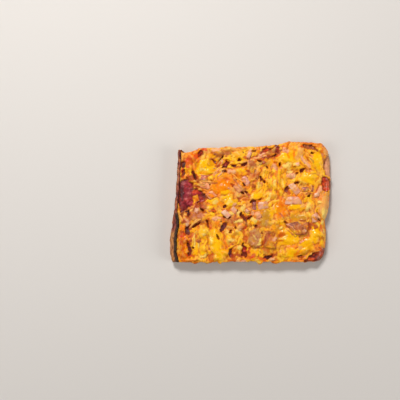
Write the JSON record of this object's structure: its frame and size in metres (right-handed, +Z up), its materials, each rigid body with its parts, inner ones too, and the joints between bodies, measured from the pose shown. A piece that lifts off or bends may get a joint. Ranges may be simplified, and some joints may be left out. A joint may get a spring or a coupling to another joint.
{
  "type": "ham pizza slice",
  "caption": "Rectangular slice of tray-baked pizza with tomato sauce, melted cheese and pieces of ham, cut on two sides and baked on the other two",
  "frame": {"origin": "middle of the bounding box in plan, on the flat underside that rests on a table, z = 0", "axes": "+X runs along the long side, from the burnt wall to the rounded rim; +Y runs away from the viewer, from one cut side to the other; +Z is up, out of the topping"},
  "size_m": [0.1693, 0.1293, 0.0177],
  "materials": {
    "crust": "baked bread: browned outside, pale open crumb at the cuts, burnt brown-black along the left wall",
    "sauce": "cooked tomato sauce, wine red, moist and bumpy",
    "cheese": "melted yellow and orange cheese with browned and oily patches, soft gloss",
    "ham": "cooked ham, pink and pale tan, browned edges, slightly moist"
  },
  "bodies": {
    "root": {"crust": "crust", "sauce": "sauce", "cheese": "cheese", "ham_01": "ham", "ham_02": "ham", "ham_03": "ham", "ham_04": "ham", "ham_05": "ham", "ham_06": "ham", "ham_07": "ham", "ham_08": "ham", "ham_09": "ham", "ham_10": "ham", "ham_11": "ham", "ham_12": "ham", "ham_13": "ham", "ham_14": "ham", "ham_15": "ham", "ham_16": "ham", "ham_17": "ham", "ham_18": "ham", "ham_19": "ham", "ham_20": "ham", "ham_21": "ham", "ham_22": "ham", "ham_23": "ham", "ham_24": "ham", "ham_25": "ham", "ham_26": "ham", "ham_27": "ham", "ham_28": "ham", "ham_29": "ham", "ham_30": "ham", "ham_31": "ham", "ham_32": "ham", "ham_33": "ham", "ham_34": "ham", "ham_35": "ham", "ham_36": "ham"}
  },
  "joints": []
}
